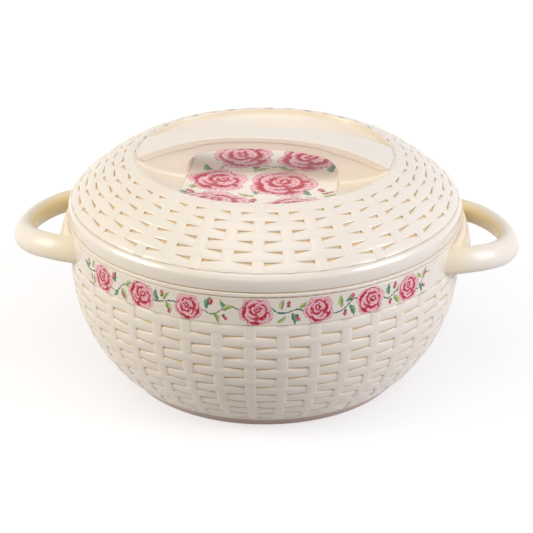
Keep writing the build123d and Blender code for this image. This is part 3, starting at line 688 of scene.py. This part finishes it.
LEAF_WIDTH, LEAF_BEND, LEAF_TIP, LEAF_BLUR, LEAF_SHADE = 0.2, 0.5, 0.75, 0.04, 3.0
RIB_COUNT, RIB_SLANT, RIB_TONES = 6.0, 9.0, (0.3, 0.75)
leaf, step, given, wanted, u, v = motif_group("printed_leaf")
bow = step("POWER", step("MAXIMUM", u, 0.0), LEAF_TIP)
bow = step("MAXIMUM", step("SINE", step("MULTIPLY", bow, pi)), 0.0)
bend = step("MULTIPLY", step("MULTIPLY", u, step("SUBTRACT", 1.0, u)), LEAF_BEND)
side = step("SUBTRACT", v, bend)
reach = step("ABSOLUTE", side)
cover = soft_edge(leaf, reach, step("MULTIPLY", bow, LEAF_WIDTH), LEAF_BLUR)
from_middle = step("ABSOLUTE", step("SUBTRACT", u, 0.5))
cover = step("MULTIPLY", cover, step("LESS_THAN", from_middle, 0.5))
slant = step("MULTIPLY", reach, RIB_SLANT)
ribs = step("FRACT", step("SUBTRACT", step("MULTIPLY", u, RIB_COUNT), slant))
tone = step("MULTIPLY_ADD", side, LEAF_SHADE, between(leaf, ribs, *RIB_TONES), clamp=True)
ink(leaf, given, wanted, cover, tone)

BUD_SLIM, BUD_REACH, BUD_BLUR, FOLD_COUNT, FOLD_TONE, FOLD_DEPTH = 1.6, 0.9, 0.12, 9.0, 0.3, 0.45
bud, step, given, wanted, u, v = motif_group("printed_bud")
out = length_of(bud, u, step("MULTIPLY", v, BUD_SLIM))
folds = step("SINE", step("MULTIPLY_ADD", v, FOLD_COUNT, u))
tone = step("MULTIPLY_ADD", folds, FOLD_DEPTH, FOLD_TONE, clamp=True)
ink(bud, given, wanted, soft_edge(bud, out, BUD_REACH, BUD_BLUR), tone)

CUP_PLACE, CUP_REACH, CUP_BLUR, CUP_SHADE = 0.8, 0.55, 0.15, 0.8
cup, step, given, wanted, u, v = motif_group("printed_cup")
out = length_of(cup, step("ADD", u, CUP_PLACE), v)
tone = step("MULTIPLY", v, CUP_SHADE, clamp=True)
ink(cup, given, wanted, soft_edge(cup, out, CUP_REACH, CUP_BLUR), tone)

STEM_SWING, STEM_HALF, STEM_BLUR, STEM_SHADE = 2.4, 0.5, 0.4, 0.5
stem, step, given, wanted, u, v = motif_group("printed_stem", Waves="Float")
lift = step("SINE", step("MULTIPLY", u, given["Waves"]))
lift = step("MULTIPLY", lift, step("DIVIDE", STEM_SWING, given["Size"]))
thick = step("DIVIDE", STEM_HALF, given["Size"])
reach = step("ABSOLUTE", step("SUBTRACT", v, lift))
cover = soft_edge(stem, reach, thick, step("MULTIPLY", thick, STEM_BLUR))
cover = step("MULTIPLY", cover, step("LESS_THAN", step("ABSOLUTE", u), 1.0))
ink(stem, given, wanted, cover, step("ABSOLUTE", step("MULTIPLY", u, STEM_SHADE)))

wobble, given, wanted = shader_group(
    "hand_drawn",
    {"Place": "Vector", "Wobble": "Vector"},
    {"Place": "Vector"},
)
unrest = noise(wobble, given["Place"], scale=0.55, detail=3.0)["Color"]
vector_step = partial(reckon, wobble, kind="ShaderNodeVectorMath")
shift = vector_step("SUBTRACT", unrest, (0.5, 0.5, 0.5))
wobble.links.new(vector_step("MULTIPLY_ADD", shift, given["Wobble"], given["Place"]), wanted["Place"])

INKS = {
    "bottle": ((0.02, 0.13, 0.08), (0.25, 0.5, 0.25)), "moss": ((0.14, 0.25, 0.04), (0.66, 0.7, 0.28)),
    "scarlet": ((0.5, 0.015, 0.02), (0.85, 0.4, 0.42)), "crimson": ((0.5, 0.006, 0.03), (0.93, 0.56, 0.6)),
}


def printed_film(name, paper, wobble_size, motifs):
    """Lacquered film; every ink has its plate, and the plates are printed one over the other on the paper."""
    tree, skin, look = new_look(name)
    place = attribute(tree, "film")["Vector"]
    drawn = place_group(tree, wobble, Place=place, Wobble=(wobble_size, wobble_size, 0))["Place"]
    colour = paper
    for tint, (deep, pale) in INKS.items():
        plate = 0.0
        for group, used, x, y, size, turn, more in motifs:
            if used == tint:
                plate = place_group(tree, group, Place=drawn, Middle_X=x, Middle_Y=y, Size=size,
                                    Turn=radians(turn), Plate=plate, **more)["Plate"]
        tone = reckon(tree, "MULTIPLY_ADD", plate, INK_CONTRAST, -INK_DEEP, clamp=True)
        cover = reckon(tree, "MULTIPLY", plate, INK_SHARP, clamp=True)
        colour = blend(tree, cover, colour, blend(tree, tone, deep, pale))
    peel = place_group(tree, mould_peel, Peel_Size=0.0012)
    worn = between(tree, peel["Cloud"], 0.97, 1.03)
    tree.links.new(scaled(tree, colour, worn), skin.inputs["Base Color"])
    tree.links.new(between(tree, peel["Cloud"], 0.22, 0.32), skin.inputs["Roughness"])
    skin.inputs["Specular IOR Level"].default_value = 0.25
    skin.inputs["Coat Weight"].default_value = 0.15
    skin.inputs["Coat Roughness"].default_value = 0.08
    raise_skin(tree, skin, peel["Peel"], depth=0.00001)
    return look


def lay_film(name, rows, looks, ends, body, node):
    """Thin film as a closed sheet; each row holds (outer point, inner point, place on the film).

    Ends are the places along the film where one of its looks goes over into the next."""
    film = bmesh.new()
    place = film.verts.layers.float_vector.new("film")
    first = [(outer, outer, mark) for outer, _, mark in rows[0]]
    last = [(outer, outer, mark) for outer, _, mark in rows[-1]]
    loops = []
    for row in [first, *rows, last]:
        outer = [(o, mark) for o, _, mark in row]
        inner = [(i, mark) for _, i, mark in row[::-1]]
        loops.append(outer + inner + outer[:1])
    lay_patch(film, [[point for point, _ in loop] for loop in loops],
              place, [[(*mark, 0.0) for _, mark in loop] for loop in loops])
    for face in film.faces:
        along = sum(vertex[place].x for vertex in face.verts) / 4
        face.material_index = sum(along > end for end in ends)
    finished(name, film, looks, body, node, crease=radians(40))


def blossoms(*places):
    """Blossoms: x, y, size and turn."""
    return [(blossom, "crimson", *place, {}) for place in places]


def leaves(*places):
    """Leaves: x and y of the stalk's end, length, turn, and whether the leaf is a dark one."""
    return [(leaf, ("moss", "bottle")[dark], *place, {}) for *place, dark in places]


def buds(*places):
    """Buds in their green cups: x, y, size and turn."""
    layers = ((bud, "scarlet"), (cup, "bottle"))
    return [(group, tint, *place, {}) for group, tint in layers for place in places]


def stems(*places):
    """Stems: x, y of the middle, half length, turn and number of half waves."""
    return [(stem, "bottle", *place, {"Waves": waves * pi / 2}) for *place, waves in places]


garland = (
    stems((-121, 9, 12, -20, 2), (-91, 8, 15, 14, 3), (-55, 9, 14, -10, 2), (-18, 9, 16, 8, 3),
          (25, 9, 12, -14, 2), (62, 9, 13, 12, 2), (95, 8, 12, -10, 3), (122, 9, 9, 24, 2))
    + leaves((-125, 10, 7, 150, 1), (-119, 7, 8, -100, 0), (-121, 11, 7, 60, 0), (-96, 10, 9, 75, 1),
             (-90, 8, 9, -60, 0), (-86, 11, 7, 35, 0), (-93, 6, 7, -130, 1), (-60, 8, 8, 100, 1),
             (-54, 9, 9, -75, 0), (-56, 10, 7, 50, 0), (-27, 9, 9, 70, 1), (-22, 7, 8, -70, 0),
             (-13, 10, 8, 130, 1), (-17, 9, 8, 20, 0), (20, 10, 8, 80, 0), (26, 8, 9, -80, 1),
             (31, 10, 7, 40, 0), (22, 6, 7, -140, 0), (58, 8, 9, 90, 0), (63, 9, 9, -70, 1),
             (61, 11, 7, 30, 1), (92, 9, 8, 85, 1), (96, 7, 9, -60, 0), (98, 10, 7, 25, 0),
             (119, 8, 8, -70, 1), (123, 10, 8, 60, 0), (121, 12, 6, 130, 0))
    + buds((-126, 14, 2.2, 110), (-122, 4, 2.0, -80), (-97, 14.5, 2.4, 80), (-88, 3.5, 2.2, -60),
           (-57, 14.5, 2.3, 100), (-52, 3, 2.1, -80), (-24, 14.5, 2.4, 75), (-15, 4, 2.1, -50),
           (24, 14.5, 2.3, 95), (30, 4, 2.2, -60), (60, 3.5, 2.2, -100), (65, 14.5, 2.4, 60),
           (93, 3.5, 2.1, -110), (97, 14.5, 2.3, 70), (125, 13.5, 2.2, 50), (124, 5, 2.0, -30))
    + blossoms((-108, 8.6, 10.2, 20), (-73, 8.8, 10.6, -35), (-39, 8.0, 9.6, 60), (4, 8.8, 10.8, -15),
               (43, 8.6, 10, 45), (78, 8.8, 10.6, -50), (109, 8.6, 9.8, 25))
)
FILM_PAPER, FILM_PROUD, FILM_THICK = (0.88, 0.8, 0.69), 0.00011, 0.0002
FILM_TURN, FILM_FOOT, FILM_TALL, FILM_ROWS = 62, 0.0008, 0.0174, 8
FILM_END, PANEL_ENDS, PANEL_MARGIN = 142, (-90.5, -56, -17.5, 23.5, 60.5, 93.5), 1.2
panels = []
for k, (start, end) in enumerate(zip((-FILM_END, *PANEL_ENDS), (*PANEL_ENDS, FILM_END))):
    near = [motif for motif in garland if start - PANEL_MARGIN < motif[2] + motif[4]
            and motif[2] - motif[4] < end + PANEL_MARGIN]
    panels.append(printed_film(f"band_print_{k + 1}", FILM_PAPER, wobble_size=2.4, motifs=near))
rows = []
for step in range(4 * FILM_TURN + 1):
    angle = radians(step / 2 - FILM_TURN)
    row = []
    for k in range(FILM_ROWS + 1):
        up = FILM_TALL * k / FILM_ROWS
        points = [
            (r * sin(angle), -r * cos(angle), BAND_LOW + FILM_FOOT + up)
            for r in (BAND_RADIUS + FILM_PROUD, BAND_RADIUS + FILM_PROUD - FILM_THICK)
        ]
        row.append((*points, (angle * BAND_RADIUS * MM, up * MM)))
    rows.append(row)
lay_film("band_garland", rows, panels, PANEL_ENDS, "bowl", "band_label")


# Foam of the bowl: rigid polyurethane with small closed cells and a yellowish skin. It is poured between the
# two bowls through a hole in the base cover, swells until it fills the space, and holds by itself.
tree, skin, foam = new_look("poured_foam")
cells = tree.nodes.new("ShaderNodeTexVoronoi")
cells.inputs["Scale"].default_value = 900.0
tree.links.new(object_place(tree), cells.inputs["Vector"])
grained(tree, skin, cells.outputs["Distance"], colours=((0.86, 0.78, 0.52), (0.93, 0.88, 0.68)),
        roughness=(0.75, 0.9), depth=0.0003)
dress("body_foam", foam)


# Base cover and foam plug: the cover closes the bowl from below and carries the foot ring, the plug stops the
# hole that the foam is poured through. Both are coloured a duller rosy brown, which is painted shade standing
# in for the dim light and contact shadow under the bowl.
foot_shade_pearl = pearl_plastic("foot_shade_pearl", shell=(0.66, 0.43, 0.34), hollow_shade=(0.46, 0.29, 0.22), reach=0.01,
                           roughness=0.45)
dress("base_cover", foot_shade_pearl)
dress("foam_plug", foot_shade_pearl)


# Lid dome: moulded in the same plastic as the bowl, with seven rows of weave between a smooth rim round its
# opening and a groove above the smooth skirt. The loose lid lies turned a little on the bowl.
LID_TURN, LID_ROWS = radians(-2.3), 7
OPENING, OPENING_TOP, LID_EDGE, SKIRT_TOP, DOME_CURVE = 0.0848, 0.1516, 0.131, 0.1218, 1.5
WEAVE_INNER, WEAVE_OUTER, GROOVE = 0.0862, 0.1283, 0.1286


def dome_height(radius):
    """Plain wall of the lid at a radius."""
    share = max(0.0, (radius - OPENING) / (LID_EDGE - OPENING))
    return OPENING_TOP - (OPENING_TOP - SKIRT_TOP) * share**DOME_CURVE


reaches = [WEAVE_INNER + (WEAVE_OUTER - WEAVE_INNER) * i / WALL_POINTS for i in range(WALL_POINTS + 1)]
dome_line = even_places([(r, dome_height(r)) for r in reaches], LID_ROWS * FINE)
dome = bmesh.new()
shading_tone = dome.verts.layers.float.new("shading_tone")
weave(dome, shading_tone, dome_line, LID_ROWS, phase=-pi / 2 + pi / STAKES + LID_TURN, shares=(0.48, 0.39),
      gaps=(0.002, 0), crown=0.55)
spun_line(dome, shading_tone, [
    (OPENING, 0.1461), (OPENING, 0.15185), (0.08495, 0.15215), (0.0852, 0.1523), (0.0858, 0.15232),
    (0.08615, 0.1522), (0.0864, 0.1519), (0.0865, 0.1509),
])
start, edge = WEAVE_OUTER - 0.0006, dome_height(GROOVE)
# Painted shade: the groove takes a tone of 0.6, a soft tan line where it is shaded.
spun_line(dome, shading_tone, [(start, dome_height(start) - 0.0002), (GROOVE - 0.0001, edge + 0.0001)], tone=0.6)
spun_line(dome, shading_tone, [
    (GROOVE - 0.0001, edge + 0.0001), (GROOVE + 0.0001, edge + 0.0005), (GROOVE + 0.0004, edge + 0.0007),
    (0.1298, 0.12265), (0.13035, 0.12205), (0.13075, 0.1213), (0.13095, 0.1205), (LID_EDGE, 0.1196),
    (LID_EDGE, 0.1135), (0.1308, 0.1131), (0.1304, 0.1129), (0.1284, 0.1129), (0.1284, 0.1165),
])
finished("lid_shell", dome, (woven_pearl, smooth_pearl), "lid", "lid_outer")


# Dish: a round tray of the same plastic that closes the dome's opening and takes the bridge. It is pressed
# onto the ledge inside the opening, and its wall turns up smoothly to meet the rim.
DISH_RADIUS, DISH_FLOOR, DISH_EDGE, DISH_CURVE = 0.0845, 0.138, 0.1486, 4
DISH_REACH, DISH_WALL, UPTURN_START, UPTURN = 0.08485, 0.0018, 0.0795, 110.0
DISH_RINGS, SHADE_START, SHADE_LENGTH, SHADE_DEPTH = 40, 0.0828, 0.0012, 0.6


def dish_height(radius):
    """Upper face of the dish at a radius."""
    upturn = UPTURN * max(0.0, radius - UPTURN_START) ** 2
    return DISH_FLOOR + (DISH_EDGE - DISH_FLOOR) * (radius / DISH_RADIUS) ** DISH_CURVE + upturn


dish_pearl = pearl_plastic("dish_pearl", hollow_shade=(0.8, 0.64, 0.36), reach=0.03, strength=1.1, shading_tone="shading_tone")
tray = bmesh.new()
shading_tone = tray.verts.layers.float.new("shading_tone")
reaches = [DISH_REACH * sqrt(i / DISH_RINGS) for i in range(DISH_RINGS + 1)]
top = [(r, dish_height(r)) for r in reaches]
under = [(r, dish_height(r) - DISH_WALL) for r in reaches[:1:-4]] + [(0.0, DISH_FLOOR - DISH_WALL)]
# Painted shade: the dish's face turns towards its warm shade colour over its last millimetre before the rim.
edge_shade = [1 - SHADE_DEPTH * clip((r - SHADE_START) / SHADE_LENGTH) for r in reaches]
spun_line(tray, shading_tone, top + under, tone=edge_shade + [1.0] * len(under), look=0)
finished("dish_tray", tray, (dish_pearl,), "lid", "lid_dish", crease=radians(50))


# Dish film: the same printed film with larger blossoms, laid in the dish from its front edge to behind the
# bridge. Its two sides are straight and its front follows the dish's round edge.
FILM_HALF, FILM_BACK, FILM_ROUND, FILM_LIFT = 0.05, 0.058, 0.0831, 0.0003
FILM_STRIPS, FILM_STEPS = 20, 56


def on_lid(x, y, z):
    """Point of the lid, turned with it."""
    return x * cos(LID_TURN) - y * sin(LID_TURN), x * sin(LID_TURN) + y * cos(LID_TURN), z


rows = []
for i in range(2 * FILM_STRIPS + 1):
    x = FILM_HALF * (i / FILM_STRIPS - 1)
    front = -sqrt(FILM_ROUND**2 - x * x)
    row = []
    for k in range(FILM_STEPS + 1):
        y = front + (FILM_BACK - front) * k / FILM_STEPS
        z = dish_height(hypot(x, y)) + FILM_LIFT
        row.append((on_lid(x, y, z), on_lid(x, y, z - FILM_THICK), (x * MM, y * MM)))
    rows.append(row)
bouquet = (
    stems((-22, -56, 18, 20, 2), (26, -40, 16, -30, 2), (-30, 2, 18, 60, 2), (10, 12, 20, -10, 3),
          (30, 40, 14, 40, 2))
    + leaves((-40, -50, 15, 150, 1), (-4, -66, 14, -20, 0), (-2, -38, 13, 70, 1), (42, -44, 14, 20, 0),
             (16, -68, 13, -80, 1), (-34, -2, 14, 120, 1), (-8, 2, 13, 30, 0), (44, 4, 13, 80, 1),
             (20, 6, 14, 150, 0), (-40, 34, 13, 60, 1), (4, 44, 14, 100, 0), (40, 46, 12, 30, 1),
             (-2, -42, 12, 160, 0), (34, -38, 13, 110, 1), (-44, -36, 12, 70, 0))
    + buds((-44, -42, 4, 130), (4, -72, 3.8, -60), (46, -34, 4, 30), (-6, 12, 4, 70), (44, 18, 3.8, 60),
           (-20, 50, 4, 100), (-2, -50, 4.2, 80), (40, -28, 3.8, 110))
    + blossoms((-25, -58, 22, 30), (25, -61, 20, -30), (14, -18, 23, 10), (-29, -17, 20, -40),
               (-17, 27, 21, 45), (27, 27, 22, -10))
)
# Its paper is paler than the band film's: a painted brightening that makes up for the shade the bridge casts
# on the dish.
dish_print = printed_film("dish_print", (0.96, 0.88, 0.75), wobble_size=4.6, motifs=bouquet)
lay_film("dish_bouquet", rows, (dish_print,), (), "lid", "dish_label")


# Bridge: a grip across the dish with a shoulder at each end, moulded in the same plastic and held by four
# screws from below. A fine step runs along its sides, its underside is hollowed, and the finger opening below
# it is an arch.
BRIDGE_TOP, BRIDGE_FOOT, BRIDGE_CURVE, BRIDGE_END = 0.1673, 0.15215, 2.6, 0.0849
BRIDGE_HALF, BRIDGE_END_HALF, BRIDGE_FLARE, BRIDGE_EDGE, BRIDGE_STEP = 0.0102, 0.0175, 0.0036, 0.0048, 0.0007
WINDOW_HALF, WINDOW_TOP, WINDOW_SPRING, WINDOW_ARCH = 0.0502, 0.161, 0.143, 0.005
WINDOW_CURVE, WINDOW_CORNER = 13.0, 0.45
RIM_DEEP, RIM_GROWTH, RIM_BACK = 0.0015, 0.009, 0.0034
RIM_EDGE = (
    (0.0002, 0, -0.0002), (0.0014, 0, -0.0002), (0.0017, 0, 0.0001), (0.0024, 0.7, 0), (RIM_BACK, 1, 0),
)
FOOT_ROUND, FOOT_SUNK, TOP_ROUND, LIP_ROUND, LIP_SLOPE = 0.003, 0.00012, 0.001, 0.0003, 0.1
EDGE_SHARE, STEP_SHARE, FOOT_SHARE, TOP_SHARE = 0.5, 0.15, 0.35, 0.4
LINE_TONES, LEAST_ROOM, SLIVER = [0.85, 0.6, 0.6, 0.6, 0.6], 0.0001, 0.00001
END_STEPS, END_CROWDING, WINDOW_STEPS = 14, 1.5, 24


def drawn_in(x, y):
    """Place drawn in where it would stand out over the dish's edge."""
    draw = min(1.0, BRIDGE_END / max(hypot(x, y), 0.001))
    return x * draw, y * draw


def on_dish(x, y, rise):
    """Point at a rise over the dish."""
    x, y = drawn_in(x, y)
    return x, y, dish_height(hypot(x, y)) + rise


def bridge_section(x, low=None):
    """Closed section across the bridge; low is its underside's height, None where it stands on the dish."""
    share = min(1.0, abs(x) / DISH_RADIUS)
    top = BRIDGE_TOP - (BRIDGE_TOP - BRIDGE_FOOT) * share**BRIDGE_CURVE
    half = BRIDGE_HALF + (BRIDGE_END_HALF - BRIDGE_HALF) * share**2

    def wide(z, back=0.0):
        return half - back + BRIDGE_FLARE * (BRIDGE_TOP - z) / (BRIDGE_TOP - DISH_FLOOR)

    def point(y, z):
        return *drawn_in(x, y), z

    bed = dish_height(min(BRIDGE_END, hypot(x, wide(DISH_FLOOR)))) if low is None else low
    room = max(LEAST_ROOM, top - bed)
    lip = top - min(BRIDGE_EDGE, room * EDGE_SHARE)
    step, rounding = min(BRIDGE_STEP, room * STEP_SHARE), min(TOP_ROUND, (top - lip) * TOP_SHARE)
    foot_round = min(FOOT_ROUND, room * FOOT_SHARE)
    rim = 0.0 if low is None else RIM_DEEP * min(1.0, (low - WINDOW_SPRING) / RIM_GROWTH)
    foot = bed + foot_round if low is None else bed - rim
    flat = wide(top) - rounding
    right = [point(flat * k / 4, top) for k in range(5)]
    for bend in (pi / 8, pi / 4, pi * 3 / 8, pi / 2):
        right.append(point(flat + rounding * sin(bend), top - rounding * (1 - cos(bend))))
    right += [point(wide(lip), lip + (top - lip) * LIP_SLOPE), point(wide(lip) - LIP_ROUND, lip)]
    for height in [lip + (foot - lip) * k / 4 for k in range(5)]:
        right.append(point(wide(height, step), height))
    out = wide(foot, step)
    if low is None:
        for bend in [pi / 2 * k / 5 for k in range(1, 6)]:
            reach = out + foot_round * (1 - cos(bend))
            right.append(on_dish(x, reach, foot_round * (1 - sin(bend)) - FOOT_SUNK))
        right += [on_dish(x, reach * k / 4, -3 * FOOT_SUNK) for k in (3, 2, 1, 0)]
    else:
        for back, part, up in RIM_EDGE:
            right.append(point(out - back, foot + (rim * part + up)))
        right += [point((out - RIM_BACK) * k / 4, low) for k in (3, 2, 1, 0)]
    left = [(x, -y, z) for x, y, z in right[-2:0:-1]]
    return [on_lid(*place) for place in right + left + right[:1]]


bridge = bmesh.new()
shading_tone = bridge.verts.layers.float.new("shading_tone")
end_ways = [(BRIDGE_END - WINDOW_HALF) * (i / END_STEPS) ** END_CROWDING for i in range(END_STEPS + 1)]
sections = [bridge_section(way - BRIDGE_END) for way in end_ways]
for i in range(2 * WINDOW_STEPS + 1):
    x = WINDOW_HALF * sin(pi / 2 * (i / WINDOW_STEPS - 1))
    share = min(1.0, abs(x / WINDOW_HALF))
    corner = 1 - (1 - share**WINDOW_CURVE) ** WINDOW_CORNER
    low = WINDOW_TOP - WINDOW_ARCH * share**2 - (WINDOW_TOP - WINDOW_ARCH - WINDOW_SPRING) * corner
    sections.append(bridge_section(x, low))
sections += [bridge_section(BRIDGE_END - way) for way in end_ways[::-1]]
# Painted shade: the rounded front edge of the top and the lip below it take lower tones, darker than the top
# and the wall.
half_tones = [1.0] * 6 + LINE_TONES
half_tones += [1.0] * (len(sections[0]) // 2 + 1 - len(half_tones))
lay_patch(bridge, sections, shading_tone, [half_tones + half_tones[-2::-1]] * len(sections))
bmesh.ops.remove_doubles(bridge, verts=bridge.verts, dist=WELD)
bmesh.ops.dissolve_degenerate(bridge, edges=bridge.edges, dist=SLIVER)
bmesh.ops.holes_fill(bridge, edges=bridge.edges)
bridge_pearl = pearl_plastic("bridge_pearl", hollow_shade=(0.8, 0.66, 0.52), reach=0.02, strength=0.1,
                             roughness=0.3, shading_tone="shading_tone")
finished("bridge_grip", bridge, (bridge_pearl,), "lid", "lid_handle", crease=radians(40))


# Bridge screws: the same zinc-plated self-tapping screws as in the handles, two at each end of the bridge.
# They are driven up through the dish's bosses and pull the bridge down on the dish.
dress("lid_handle_screws", zinc)


# Lid liner: the lid's plain underside with a plug that enters the inner bowl, moulded in a paler, duller
# ivory. It is snapped over the bead inside the skirt and closes the foam in.
liner_pearl = pearl_plastic("liner_pearl", shell=(0.87, 0.81, 0.71), reach=0.015, roughness=0.4)
dress("lid_liner", liner_pearl)


# Lid foam: the same rigid polyurethane as the bowl's, poured between the dome, the dish and the liner.
# It fills what they leave free and holds by itself.
dress("lid_foam", foam)
